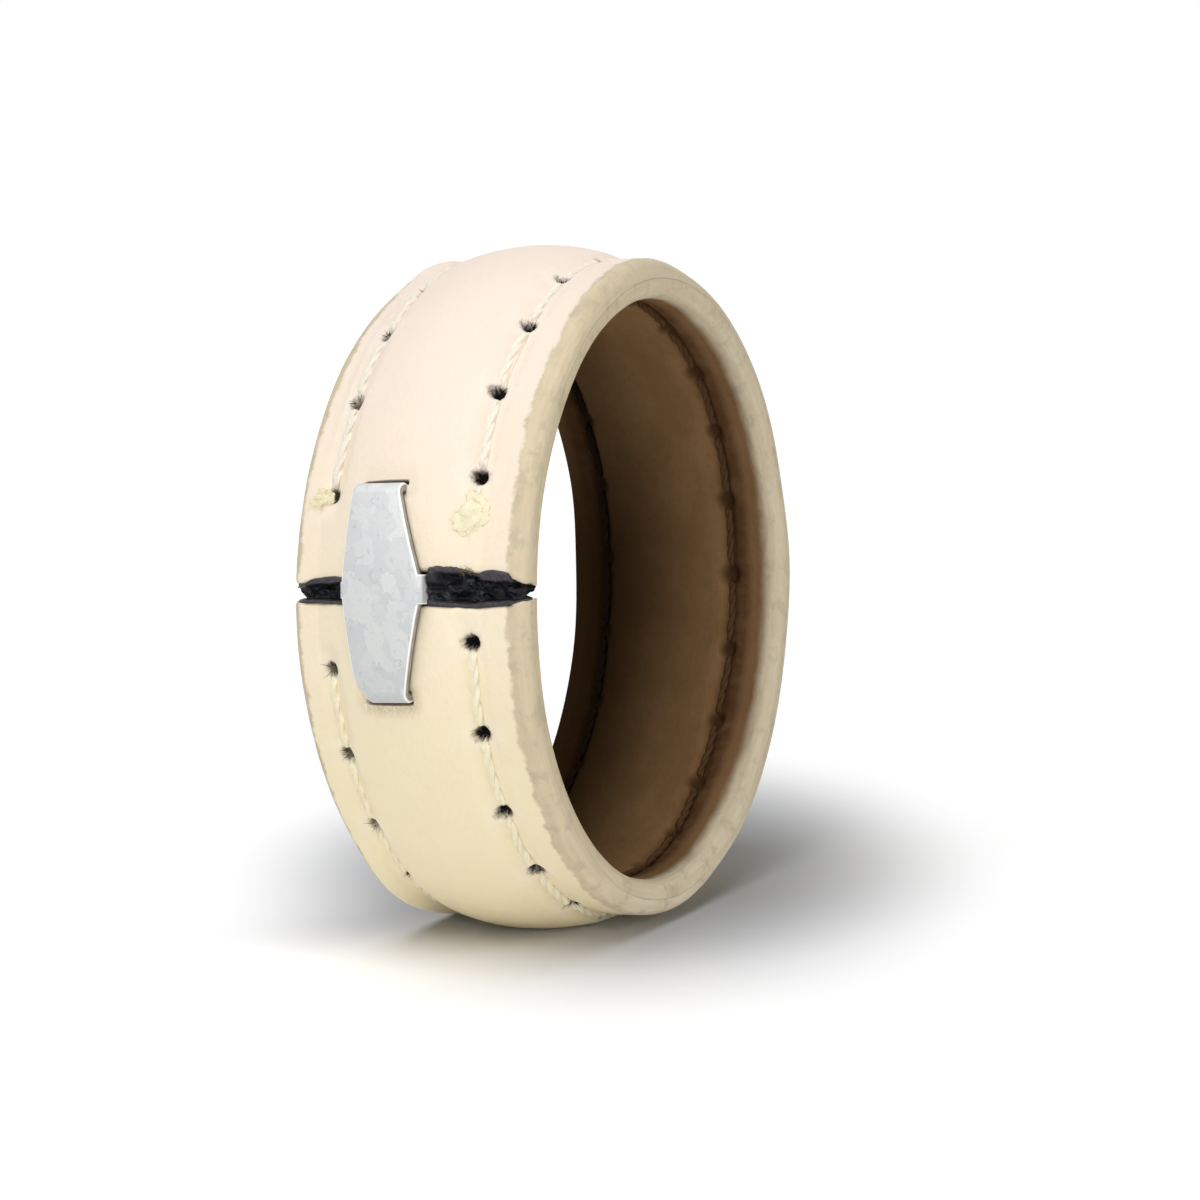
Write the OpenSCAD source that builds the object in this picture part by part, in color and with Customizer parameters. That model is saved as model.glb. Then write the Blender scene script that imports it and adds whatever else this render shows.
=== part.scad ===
// Leather ring thimble: a sewn two-layer band whose ends meet over a black elastic insert,
// held together by a steel clip. The ring axis is along Y, the front rim faces -Y, the joint
// faces -X, and the origin is the centre of the finger hole.

/* [Band] */
// Diameter of the finger hole
bore_d = 18; // [15:0.5:22]
// Width of the band along the finger
band_w = 7.6; // [7:0.2:12]
// Thickness of the brown lining
lining_t = 0.6; // [0.5:0.05:0.9]
// Thickness of the outer leather beside its edges
edge_t = 0.5; // [0.5:0.05:1]
// Rise of the crown above the edges
crown_rise = 0.6; // [0.4:0.05:0.9]
// Rounding of the outer leather at the rims
outer_round = 0.42; // [0.2:0.02:0.48]
// Rounding of the lining at the rims
lining_round = 0.4; // [0.2:0.05:0.45]
// Depth of the patch that is pressed flat where the ring rests
rest_depth = 0.3; // [0.25:0.01:0.4]
// Angle of the joint above mid-height as the ring rests
joint_lift = 6; // [0:1:30]

/* [Seams] */
// Distance of the seams from their rims, on the average
seam_inset = 1.5; // [1.4:0.1:2]
// Distance by which the crown and its seams lie nearer to the rear rim
seam_shift = 0.24; // [-0.3:0.02:0.3]
// Width of the furrow that the seam pulls into the leather
furrow_w = 1.1; // [0.9:0.05:1.4]
// Depth of that furrow
furrow_depth = 0.2; // [0.16:0.02:0.3]
// Length of one stitch
stitch_l = 2.75; // [2.2:0.05:3.5]
// Diameter of a stitch hole
hole_d = 0.6; // [0.58:0.02:0.8]
// Diameter of the thread on the outside
outer_thread_d = 0.28; // [0.24:0.02:0.4]
// Diameter of the thread on the lining
inner_thread_d = 0.26; // [0.22:0.02:0.3]
// Distance from the joint down to the first front hole
front_start = 1.5; // [1.3:0.1:3]
// Distance from the joint up to the last front hole
front_end = 3.35; // [2.6:0.05:5]
// Distance from the joint down to the first rear hole
rear_start = 2.4; // [1.3:0.1:3]
// Distance from the joint up to the last rear hole
rear_end = 3.06; // [2.6:0.02:5]
// Diameter of the lump that seals a thread end
seal_d = 0.9; // [0.7:0.05:1.1]

/* [Joint] */
// Width of the gap between the band's ends, at the crown and towards the front
gap_outer = 1.08; // [0.9:0.02:1.6]
// Width of that gap towards the rear
gap_rear = 0.68; // [0.6:0.02:1.6]
// Width of the gap at both rims, where the ends almost meet
gap_rim = 0.3; // [0.2:0.02:0.5]
// Length over which the gap closes towards a rim
gap_taper = 0.55; // [0.4:0.05:1.5]
// Width of that gap at the finger hole
gap_inner = 0.7; // [0.3:0.02:0.8]
// Angle of the gap, whose front end lies higher
gap_turn = 2.6; // [-4:0.2:4]
// Height of the insert's two lips above the leather
lip_rise = 0.1; // [0.04:0.02:0.2]
// Depth of the valley between the lips
valley_depth = 0.35; // [0.2:0.05:0.5]
// Distance from the insert's tails, between the two layers, to the clip's turned-down ends
tail_room = 0.3; // [0.2:0.05:1]
// Thickness of those tails
tail_t = 0.25; // [0.15:0.05:0.3]

/* [Clip] */
// Length of the clip around the ring
clip_l = 6.7; // [5.6:0.1:7.6]
// Distance by which the clip reaches further below the joint than above it
clip_drop = 0.2; // [-0.4:0.05:0.4]
// Width of the clip at its middle
clip_w = 2.36; // [2:0.02:3]
// Width of the clip at its ends
clip_end_w = 1.42; // [1.2:0.02:1.9]
// Distance of the clip's ends from its middle line, towards the rear
clip_end_shift = 0.26; // [-0.3:0.02:0.3]
// Thickness of the sheet steel
clip_t = 0.33; // [0.25:0.01:0.5]
// Distance of the clip from the middle of the band, towards the rear
clip_shift = 0.34; // [-0.4:0.02:0.4]
// Angle by which the clip was bent on askew
clip_turn = 1.4; // [-4:0.2:4]
// Depth of the turned-down ends below the crown
tongue_depth = 0.95; // [0.5:0.05:1]

/* [Hidden] */
// Room between pieces that touch
fit = 0.02;
// Steps of a full turn
$fn = 96;
bore_r = bore_d / 2;
bond_r = bore_r + lining_t;
edge_r = bond_r + edge_t;
crown_r = edge_r + crown_rise;
half_w = band_w / 2;
seam_z = half_w - seam_inset;
// Places of the two seams across the band
front_z = seam_shift - seam_z;
rear_z = seam_shift + seam_z;
// Reach of the crown from its highest line
crown_reach = seam_z + furrow_w / 3;
// Places across the band, and half widths of the gap there
gap_ends = [-half_w, gap_taper - half_w, half_w - gap_taper, half_w];
gap_halves = [gap_rim / 2, gap_outer / 2, gap_rear / 2, gap_rim / 2];
// Groove that takes the inner thread
groove_depth = inner_thread_d * 0.7;
groove_w = inner_thread_d + 0.1;
// Thread squeezed inside a hole, and how far its two legs stand from the hole's centre
core_r = 0.08;
leg = (hole_d / 2 - core_r - 0.03) / sqrt(2);
// Each thread loops past the bond face by this much, so that the two hook into each other
hook = core_r + 0.02;
thread_sides = 6;
dimple_d = hole_d + 0.3;
clip_in_r = crown_r + fit;
clip_out_r = clip_in_r + clip_t;
// Angles from the joint to the outside of the clip's upper and lower ends
clip_end_a = clip_l / 2 / clip_out_r * 180 / PI;
clip_drop_a = clip_drop / 2 / clip_out_r * 180 / PI;
clip_ends = [clip_end_a - clip_drop_a, -clip_end_a - clip_drop_a];
bend_r = clip_t + 0.1;
// Ears of the clip: lower end, widths at the front and rear, and outer face from the clip's middle
ear_r = crown_r - 0.55;
ear_ws = [1.65 * min(half_gap(ear_r), gap_outer / 2), 1.5 * min(half_gap(ear_r), gap_rear / 2)];
ear_z = clip_w / 2 + clip_t;
ear_lap = 0.05;
// Reach of the insert's tails on each side of the joint
tail_reach = (crown_r - tongue_depth) * sin(clip_ends[0]) - clip_t - tail_room;
outer_thread_r = outer_r(front_z) + outer_thread_d / 2 + fit;
inner_thread_r = bore_r + groove_depth - inner_thread_d / 2 - fit;
front_angles = hole_angles(front_start, front_end);
rear_angles = hole_angles(rear_start, rear_end);
leather = [0.96, 0.9, 0.8];
brown = [0.34, 0.25, 0.16];
black = [0.07, 0.06, 0.08];
steel = [0.84, 0.85, 0.84];
cream = [0.93, 0.87, 0.72];
dark_thread = [0.2, 0.12, 0.08];
yellow = [0.9, 0.82, 0.58];

// Pieces are made with the ring axis on Z and the joint at angle 0, then stood up
module stand() {
    rotate([0, 180 + joint_lift, 0])
        rotate([-90, 0, 0])
            children();
}

// Outside of the leather at a distance z from the middle of the band
function crown(z) = let (t = (z - seam_shift) / crown_reach)
    abs(t) < 1 ? crown_rise * (1 - t * t) : 0;
function furrow(z) = let (t = (abs(z - seam_shift) - seam_z) * 2 / furrow_w)
    abs(t) < 1 ? furrow_depth * (1 + cos(180 * t)) / 2 : 0;
function outer_r(z) = edge_r + crown(z) - furrow(z);

// Half width of the gap at radius r, and the most it has at a distance z from the middle
function half_gap(r) =
    (gap_inner + (gap_outer - gap_inner) * (r - bore_r) / (crown_r - bore_r)) / 2;
function mouth(z) = lookup(z, [for (i = [0:3]) [gap_ends[i], gap_halves[i]]]);

// Angles of the holes of one seam, from below the joint, down and round, to above it
function arc_angle(distance) = distance / edge_r * 180 / PI;
function hole_angles(low, high) =
    let (turn = 360 - arc_angle(low) - arc_angle(high))
    let (count = round(turn / arc_angle(stitch_l)))
    [for (i = [0:count]) -arc_angle(low) - turn * i / count];

// Rings of points joined into one closed skin
function skin_faces(sides, rings) = concat(
    [[for (i = [0:sides - 1]) i]],
    [for (j = [0:rings - 2], i = [0:sides - 1])
        [j * sides + i, (j + 1) * sides + (i + 1) % sides, j * sides + (i + 1) % sides]],
    [for (j = [0:rings - 2], i = [0:sides - 1])
        [j * sides + i, (j + 1) * sides + i, (j + 1) * sides + (i + 1) % sides]],
    [[for (i = [sides - 1:-1:0]) (rings - 1) * sides + i]]);

module skin(rings) {
    polyhedron(
        points = [for (ring = rings) each ring],
        faces = skin_faces(len(rings[0]), len(rings)),
        convexity = 10);
}

// Round tube through stations of [point, radius]
function unit(v) = v / norm(v);
function heading(stations, i) =
    let (last = len(stations) - 1)
    unit(stations[min(i + 1, last)][0] - stations[max(i - 1, 0)][0]);
function tube_ring(station, ahead) =
    let (across = unit(cross([0, 0, 1], ahead)))
    let (over = cross(ahead, across))
    [for (k = [0:thread_sides - 1])
        let (a = 360 * k / thread_sides)
        station[0] + station[1] * (cos(a) * across + sin(a) * over)];

module tube(stations) {
    skin([for (i = [0:len(stations) - 1]) tube_ring(stations[i], heading(stations, i))]);
}

// One sewing thread: it lies at lay_r and loops through every hole to hook_r
function around(a, t, r, z) =
    let (b = a - t / edge_r * 180 / PI)
    [r * cos(b), r * sin(b), z];
function dive(d) = [
    [leg, 0.8, core_r],
    [leg + 0.06, 0.42, core_r + 0.02],
    [leg + 0.2, 0.1, d * 0.42],
    [leg + 0.5, 0, d / 2]];
function stitch_stations(a, z, lay_r, hook_r, d, side, pitch, first, last) =
    let (steps = dive(d))
    let (lean = [leg, leg * 0.7, leg * 0.3, 0])
    concat(
        first ? [] : [for (i = [3:-1:0])
            [around(a, -steps[i][0], lay_r + (hook_r - lay_r) * steps[i][1], z - side * lean[i]),
             steps[i][2]]],
        [[around(a, 0, hook_r, z), core_r]],
        [for (i = [0:3])
            [around(a, steps[i][0], lay_r + (hook_r - lay_r) * steps[i][1], z + side * lean[i]),
             steps[i][2]]],
        last ? [] : [[around(a, pitch / 2, lay_r, z), d / 2]]);

// The inner thread stops in its last hole. The outer one comes up again by tail steps to its seal
module thread(angles, z, lay_r, hook_r, d, side, tail) {
    pitch = (angles[0] - angles[1]) * PI / 180 * edge_r;
    last = len(angles) - 1;
    run = [for (i = [0:last]) each stitch_stations(
        angles[i], z, lay_r, hook_r, d, side, pitch, i == 0, i == last)];
    tube([for (i = [0:len(run) - 5 + tail]) run[i]]);
}

// Holes of both seams, opened towards the face that the thread comes in from
module stitch_holes(mouth_r, inward) {
    for (seam = [[front_angles, front_z], [rear_angles, rear_z]], a = seam[0])
        rotate([0, 0, a])
            translate([0, 0, seam[1]])
                rotate([0, 90, 0]) {
                    translate([0, 0, bore_r - 1])
                        cylinder(d = hole_d, h = crown_r - bore_r + 2, $fn = 24);
                    dimple(mouth_r, inward);
                }
}

module dimple(mouth_r, inward) {
    depth = 0.3;
    over = 0.05;
    if (inward)
        translate([0, 0, mouth_r - over])
            cylinder(d1 = dimple_d, d2 = hole_d, h = depth + over, $fn = 24);
    else
        translate([0, 0, mouth_r - depth])
            cylinder(d1 = hole_d, d2 = dimple_d, h = depth + over, $fn = 24);
}

// Space between the ends of the band: a wedge seen along the ring axis, an eye seen from outside
module gap_wedge() {
    near = bore_r - 0.3;
    far = crown_r + 2;
    eye = [for (i = [0:3]) [-gap_ends[i] * (i % 3 == 0 ? 1.01 : 1), gap_halves[i]]];
    rotate([gap_turn, 0, 0])
        intersection() {
            translate([0, 0, -band_w])
                linear_extrude(2 * band_w)
                    polygon([[near, -half_gap(near)], [far, -half_gap(far)],
                             [far, half_gap(far)], [near, half_gap(near)]]);
            translate([near, 0, 0])
                rotate([0, 90, 0])
                    linear_extrude(far - near)
                        polygon(concat(eye, [for (i = [3:-1:0]) [eye[i][0], -eye[i][1]]]));
        }
}

// Pocket between the layers for the insert's tails
module tail_shape(room) {
    intersection() {
        difference() {
            cylinder(r = bond_r + tail_t + room, h = tail_w() + 2 * room, center = true);
            cylinder(r = bond_r, h = band_w, center = true);
        }
        translate([bond_r, 0, 0])
            cube([2 * lining_t + 2, 2 * tail_reach + 2 * room, band_w], center = true);
    }
}
function tail_w() = 2 * (seam_z - abs(seam_shift) - hole_d - 0.1);

module outer_band_blank() {
    arc_steps = 6;
    crown_steps = 36;
    flat_w = half_w - outer_round;
    rotate_extrude()
        polygon(concat(
            [[bond_r, -half_w]],
            [for (i = [0:arc_steps - 1]) let (a = 90 * i / arc_steps)
                [edge_r - outer_round * (1 - sin(a)), -flat_w - outer_round * cos(a)]],
            [for (i = [0:crown_steps]) let (z = flat_w * (2 * i / crown_steps - 1))
                [outer_r(z), z]],
            [for (i = [arc_steps - 1:-1:0]) let (a = 90 * i / arc_steps)
                [edge_r - outer_round * (1 - sin(a)), flat_w + outer_round * cos(a)]],
            [[bond_r, half_w]]));
}

module outer_band() {
    color(leather)
        difference() {
            stand()
                difference() {
                    outer_band_blank();
                    gap_wedge();
                    tail_shape(fit);
                    stitch_holes(outer_r(front_z), false);
                    seat_clip()
                        clip_tongues(fit);
                }
            translate([0, 0, -crown_r - bore_r + rest_depth])
                cube(bore_d, center = true);
        }
}

module inner_lining() {
    arc_steps = 6;
    flat_w = half_w - lining_round;
    lay = [[0, -groove_w], [groove_depth, -groove_w / 2], [groove_depth, groove_w / 2], [0, groove_w]];
    color(brown)
        stand()
            difference() {
                rotate_extrude()
                    polygon(concat(
                        [[bond_r - fit / 2, half_w], [bond_r - fit / 2, -half_w]],
                        [for (i = [0:arc_steps]) let (a = 90 * i / arc_steps)
                            [bore_r + lining_round * (1 - sin(a)), -flat_w - lining_round * cos(a)]],
                        [for (z = [front_z, rear_z], p = lay) [bore_r + p[0], z + p[1]]],
                        [for (i = [arc_steps:-1:0]) let (a = 90 * i / arc_steps)
                            [bore_r + lining_round * (1 - sin(a)), flat_w + lining_round * cos(a)]]));
                gap_wedge();
                stitch_holes(bore_r + groove_depth, true);
            }
}

// Outline of the insert across the ring: a web with two lips and a valley between them
function lip_height(z) =
    lip_rise * (0.4 + 0.6 * abs(sin(360 * (abs(z) - ear_z) / (half_w - ear_z))));
function insert_section(z) =
    let (top = edge_r + crown(z) + lip_height(z))
    let (foot = bore_r + lining_round)
    let (side = min(half_gap(top - valley_depth), mouth(z)) - fit)
    let (base = min(half_gap(foot), mouth(z)) - fit)
    let (lip = side / 2)
    concat(
        [[foot, -base]],
        [for (a = [0:45:135]) [top - lip * (1 - sin(a)), -lip - lip * cos(a)]],
        [[top - valley_depth, 0]],
        [for (a = [45:45:180]) [top - lip * (1 - sin(a)), lip - lip * cos(a)]],
        [[foot, base]]);

module elastic_insert() {
    steps = 4;
    reach = half_w - outer_round / 3;
    near = ear_z + 2 * fit;
    stops = [-reach, gap_ends[1], clip_shift - near, clip_shift + near, gap_ends[2], reach];
    places = [for (side = [0, 3], part = [0, 1], i = [part:steps])
        stops[side + part] + (stops[side + part + 1] - stops[side + part]) * i / steps];
    color(black)
        stand()
            difference() {
                union() {
                    rotate([gap_turn, 0, 0])
                        skin([for (z = places) [for (p = insert_section(z)) [p[0], p[1], z]]]);
                    tail_shape(0);
                }
                // Notches for the ears of the clip
                seat_clip()
                    for (side = [-1, 1])
                        translate([ear_r - fit, -gap_outer, side * (ear_z - clip_t / 2) - clip_t / 2 - fit])
                            cube([crown_rise + 2, 2 * gap_outer, clip_t + 2 * fit]);
            }
}

// The clip sits a little to the rear and askew
module seat_clip() {
    translate([0, 0, clip_shift])
        rotate([clip_turn, 0, 0])
            children();
}

// Turned-down ends of the clip, which stand in slits of the outer leather
module clip_tongues(room) {
    for (side = [-1, 1])
        rotate([0, 0, clip_ends[side > 0 ? 0 : 1]])
            translate([crown_r - tongue_depth - room, -clip_t / 2 - side * clip_t / 2 - room,
                       clip_end_shift - clip_end_w / 2 - room])
                cube([tongue_depth + clip_t / 2 + room, clip_t + 2 * room, clip_end_w + 2 * room]);
}

// Ears of the clip, turned down into the gap, each with a round bend that runs into the plate
module clip_ears() {
    for (side = [0, 1])
        mirror([0, 0, 1 - side]) {
            ear_w = ear_ws[side];
            intersection() {
                translate([clip_in_r, 0, clip_w / 2])
                    rotate([90, 0, 0])
                        cylinder(r = clip_t, h = ear_w, center = true, $fn = 32);
                translate([clip_in_r, -ear_w, clip_w / 2 - ear_lap])
                    cube([2 * clip_t, 2 * ear_w, 2 * clip_t]);
            }
            translate([ear_r, -ear_w / 2, clip_w / 2])
                cube([clip_in_r - ear_r + ear_lap, ear_w, clip_t]);
        }
}

module clip_plate() {
    ends = [for (a = clip_ends) clip_out_r * sin(a)];
    front = clip_end_w / 2 - clip_end_shift;
    rear = clip_end_w / 2 + clip_end_shift;
    plan = [[front, ends[1]], [clip_w / 2, -ear_ws[0] / 2], [clip_w / 2, ear_ws[0] / 2], [front, ends[0]],
            [-rear, ends[0]], [-clip_w / 2, ear_ws[1] / 2], [-clip_w / 2, -ear_ws[1] / 2], [-rear, ends[1]]];
    intersection() {
        difference() {
            cylinder(r = clip_out_r, h = band_w, center = true);
            cylinder(r = clip_in_r, h = band_w + 1, center = true);
        }
        translate([bore_r, 0, 0])
            rotate([0, 90, 0])
                linear_extrude(crown_rise + 4)
                    polygon(plan);
    }
}

// Rounds the outside of the two end bends
module bend_cutter() {
    for (side = [-1, 1])
        rotate([0, 0, clip_ends[side > 0 ? 0 : 1]])
            translate([clip_out_r - bend_r, -side * bend_r, 0])
                difference() {
                    translate([0, side > 0 ? 0 : -2 * bend_r, -clip_w])
                        cube([2 * bend_r, 2 * bend_r, 2 * clip_w]);
                    cylinder(r = bend_r, h = 3 * clip_w, center = true, $fn = 32);
                }
}

module joint_clip() {
    color(steel)
        stand()
            seat_clip()
                difference() {
                    union() {
                        clip_plate();
                        clip_tongues(0);
                        clip_ears();
                    }
                    bend_cutter();
                }
}

module front_outer_thread() {
    color(cream)
        stand()
            thread(front_angles, front_z, outer_thread_r, bond_r - hook, outer_thread_d, 1, 4);
}

module front_inner_thread() {
    color(dark_thread)
        stand()
            thread(front_angles, front_z, inner_thread_r, bond_r + hook, inner_thread_d, -1, 0);
}

module rear_outer_thread() {
    color(cream)
        stand()
            thread(rear_angles, rear_z, outer_thread_r, bond_r - hook, outer_thread_d, 1, 3);
}

module rear_inner_thread() {
    color(dark_thread)
        stand()
            thread(rear_angles, rear_z, inner_thread_r, bond_r + hook, inner_thread_d, -1, 0);
}

// Lump over a thread end: a low dome whose foot follows the leather
module end_seal(angles, z, tail) {
    last = angles[len(angles) - 1];
    distance = dive(outer_thread_d)[tail - 1][0] + fit + seal_d / 2;
    height = outer_thread_d + 0.1;
    color(yellow)
        stand()
            difference() {
                rotate([0, 0, last - distance / edge_r * 180 / PI])
                    translate([outer_r(z) - 0.1, 0, z])
                        rotate([0, 90, 0])
                            rotate_extrude($fn = 32)
                                polygon(concat([[0, 0]], [for (i = [0:6]) let (a = 15 * i)
                                    [seal_d / 2 * cos(a), 0.1 + height * sin(a)]]));
                outer_band_blank();
            }
}

module front_end_seal() {
    end_seal(front_angles, front_z, 4);
}

module rear_end_seal() {
    end_seal(rear_angles, rear_z, 3);
}

outer_band();
inner_lining();
elastic_insert();
joint_clip();
front_outer_thread();
front_inner_thread();
rear_outer_thread();
rear_inner_thread();
front_end_seal();
rear_end_seal();
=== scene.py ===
"""Leather ring thimble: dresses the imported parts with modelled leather, stitches, elastic and steel.

Lengths are in millimetres until a mesh is made. A place on the ring is given by its radius, its
angle from the joint (positive upwards, in degrees) and its distance y from the middle of the band.
"""
from math import cos, degrees, pi, radians, sin

import bpy
import numpy as np
from mathutils import Matrix, Vector

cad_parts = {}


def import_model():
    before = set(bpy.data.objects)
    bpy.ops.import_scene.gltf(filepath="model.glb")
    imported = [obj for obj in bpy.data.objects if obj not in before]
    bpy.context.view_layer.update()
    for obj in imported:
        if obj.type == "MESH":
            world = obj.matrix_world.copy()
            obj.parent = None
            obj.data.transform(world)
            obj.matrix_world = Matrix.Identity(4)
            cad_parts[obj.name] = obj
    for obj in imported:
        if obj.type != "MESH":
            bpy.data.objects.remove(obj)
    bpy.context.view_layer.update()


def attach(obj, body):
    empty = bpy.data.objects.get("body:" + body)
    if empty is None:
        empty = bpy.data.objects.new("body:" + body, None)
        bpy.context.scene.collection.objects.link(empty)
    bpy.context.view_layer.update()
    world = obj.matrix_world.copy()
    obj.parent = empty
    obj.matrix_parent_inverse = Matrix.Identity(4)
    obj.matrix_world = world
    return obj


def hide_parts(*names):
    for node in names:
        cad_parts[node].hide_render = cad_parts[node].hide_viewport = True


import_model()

# Sizes of the part, as in its solids
MM = 0.001
JOINT_LIFT = 6.0
BORE_R, BOND_R, EDGE_R, CROWN_R = 9.0, 9.6, 10.1, 10.7
HALF_W = 3.8
# Room between pieces that touch
FIT = 0.02
OUTER_ROUND, LINING_ROUND = 0.42, 0.4
REST_Z = -10.4
# The crown and its two seams lie a little to the rear
SEAM_SHIFT, SEAM_Y = 0.24, 2.3
FURROW_W, FURROW_DEPTH = 1.1, 0.2
CROWN_REACH = SEAM_Y + FURROW_W / 3
STITCH_L = 2.75
# Distance from the joint down to each seam's first hole and up to its last one, and how much nearer to the
# joint and further out than the others that last hole was set
SEAM_ENDS = {"front": (1.5, 3.35, (0.0, 0.0)), "rear": (2.4, 3.06, (0.31, 0.13))}
CLIP_L, CLIP_DROP, CLIP_T = 6.7, 0.2, 0.33
CLIP_W, CLIP_END_W, CLIP_END_SHIFT = 2.36, 1.42, 0.26
CLIP_SHIFT, CLIP_TURN = 0.34, 1.4
CLIP_IN_R = CROWN_R + FIT
CLIP_OUT_R = CLIP_IN_R + CLIP_T
# Angles of the clip's upper and lower end from the joint
CLIP_ENDS = tuple(degrees((CLIP_L - side * CLIP_DROP) / 2 / CLIP_OUT_R) for side in (1, -1))
TONGUE_DEPTH = 0.95
BEND_R = CLIP_T + 0.1
EAR_R, EAR_FRONT_W, EAR_REAR_W = CROWN_R - 0.25, 0.86, 0.50
# How far the clip's front and rear side stand out at its lower end, its middle and its upper end
CLIP_FRONT_OUT, CLIP_REAR_OUT = (0.08, 0.02, 0.0), (0.06, 0.10, 0.12)
# The ears were pressed thinner than the plate, and start to turn down just inside its edges
EAR_T, EAR_INSET = 0.2, 0.10
EAR_FRONT_Y, EAR_REAR_Y = (CLIP_W / 2 + out[1] - EAR_INSET for out in (CLIP_FRONT_OUT, CLIP_REAR_OUT))

# Leather: depth of a stitch hole, ridge round it, depth of a slit, dent beyond it, rounding of the cut ends
HOLE_DEPTH, HOLE_RIDGE, SLIT_DEPTH, CLIP_DENT, CUT_ROUND = 0.40, 0.025, 0.35, 0.09, 0.12
# Lining: depth of its groove and of its holes, and the ridge beside the groove
GROOVE_DEPTH, LINING_HOLE_DEPTH, GROOVE_RIDGE = 0.17, 0.22, 0.035
# Rims: how much thinner they are at the right and at the upper right, and how far they wander to the side
RIGHT_THINNER, UPPER_RIGHT_THINNER, RIM_WAVE = 0.15, 0.12, 0.045

# Places of the two cut edges at the joint, above and below it, for places across the band
GAP_Y = (-3.8, -3.55, -3.38, -3.32, -2.3, -1.0, 1.0, 2.5, 3.8)
GAP_UPPER = (0.22, 0.33, 0.36, 0.45, 0.50, 0.53, 0.35, 0.20, 0.15)
GAP_LOWER = (-0.26, -0.33, -0.38, -0.39, -0.47, -0.43, -0.41, -0.41, -0.42)
# Insert: rise of its lips, how much more its swollen parts rise and stand out, its valley, its lower ends
LIP_RISE, BULGE_RISE, BULGE_OUT, VALLEY_DEPTH, END_DROP = 0.05, 0.05, 0.16, 0.42, 0.28
# Middles and half lengths of the swollen parts of the insert's upper lip
INSERT_BULGES = (-1.45, 0.80), (-2.86, 0.50), (2.55, 0.75)
# How far the valley of the insert reaches from its middle towards the upper lip, across the band
VALLEY_Y = (-3.45, -3.3, -2.9, -2.5, -2.32, -1.9, 0.5, 1.5)
VALLEY_UPPER = (0.80, 0.45, 0.28, 0.42, 0.80, 0.60, 0.60, 0.40)

# Where the rear and the front rim stand out: by how much, from which to which angle round from the left,
# and over what angle that fades
REAR_FLARES = (0.20, 90, 120, 16), (-0.20, 40, 66, 18), (0.30, 245, 295, 28)
FRONT_FLARES = ((0.15, 72, 85, 20),)
# Radius of a thread and length of one turn of its two plies, outside and on the lining
OUTER_YARN, INNER_YARN = (0.155, 1.2), (0.13, 1.0)
# How much the lining's threads are darkened: by use, and more at the rear as painted shade, like the lining
DIRT_AND_SHADE = {"front": 0.5, "rear": 0.9}
# Each seal's distance past the last hole and to the side, and its half sizes along and across the seam
SEAL_SHAPES = {"front": (1.10, -0.01, 0.62, 0.58), "rear": (0.06, 0.33, 0.30, 0.46)}
# Its lumps: how far down and to the rear each one lies, its size and its height
SEAL_LUMPS = (0.0, -0.05, 0.72, 0.15), (-0.55, 0.0, 0.48, 0.11), (0.42, 0.25, 0.68, 0.07)
# Tufts of loose fibres: middle and half width across the band, angle from the joint, count and lift
TUFTS = (-2.08, 0.16, degrees(0.55 / EDGE_R), 34, 1.0), (-0.22, 0.05, 0.4 - CLIP_ENDS[1], 9, 0.3)

# Camera, as fitted to the photograph
CAMERA_BACK = Vector((-0.8931192, -0.4369892, 0.1066702))
CAMERA_RIGHT = Vector((0.4357281, -0.8993541, -0.0361010))
CAMERA_UP = Vector((0.1117100, 0.0142367, 0.9936389))
CAMERA_DISTANCE = 117.54
CAMERA_AIM = Vector((0.0, 0.1, 0.0))
CAMERA_LENS = 112.34
CAMERA_SHIFT = (0.0372, -0.0106)

# Colours as the photograph shows them: lower and upper leather, the lower one painted lighter where less
# light reaches it; darker and lighter lining
LEATHER = (0.95, 0.84, 0.575), (0.905, 0.775, 0.672)
BROWN = (0.215, 0.122, 0.052), (0.260, 0.150, 0.069)
# Raw edge of the outer leather and of the lining, opposite the joint, darker there as painted shade
RIM_FAR_SHADED = (0.56, 0.485, 0.35), (0.65, 0.565, 0.41)
# Threads, seals and loose fibres, clean and darker: the darker colour is painted shade where a thread goes
# into a hole, use and painted shade along the lining's threads, the dark fluff in the holes outside, and
# random tone in the loose fibres; and the clean cream below the joint
CREAM, LOW_CREAM = ((0.95, 0.88, 0.76), (0.10, 0.07, 0.05)), (0.97, 0.885, 0.64)
DARK = (0.105, 0.055, 0.025), (0.010, 0.007, 0.006)
YELLOW = (0.95, 0.88, 0.64), (0.6, 0.5, 0.3)
FRAYED = (0.24, 0.20, 0.10), (0.05, 0.042, 0.02)
# How much further the grain reaches over the rear rim than over the front one
REAR_GRAIN = 0.3
# How much further the dye of the lining reaches over its rear rim
REAR_DYE = 1.0

# Light: the world's strength from the dim side to the bright side, and the floor's reflection
WORLD_FILL = 0.0, 0.03
WORLD_BRIGHT_SIDE = (-0.75, -0.50, 0.43)
FLOOR_ALBEDO = (0.96, 0.96, 0.96)
# The floor as it is seen: a painted shadow, darker in an oval round the ring's cast shadow, and white
# further off; and the distances at which it turns white
FLOOR_PAINTED_SHADOW_AND_WHITE = (0.49, 0.50, 0.512), (1.20, 1.20, 1.21)
PAINTED_SHADOW_FADE = 5.2, 13.6
# Middle of that painted shadow, its short direction, and its long one at half length, to reach twice as far
PAINTED_SHADOW_MIDDLE = (8.85, 3.06, REST_Z)
PAINTED_SHADOW_AXES = (0.436, -0.900, 0.0), (0.450, 0.218, 0.0)
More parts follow.
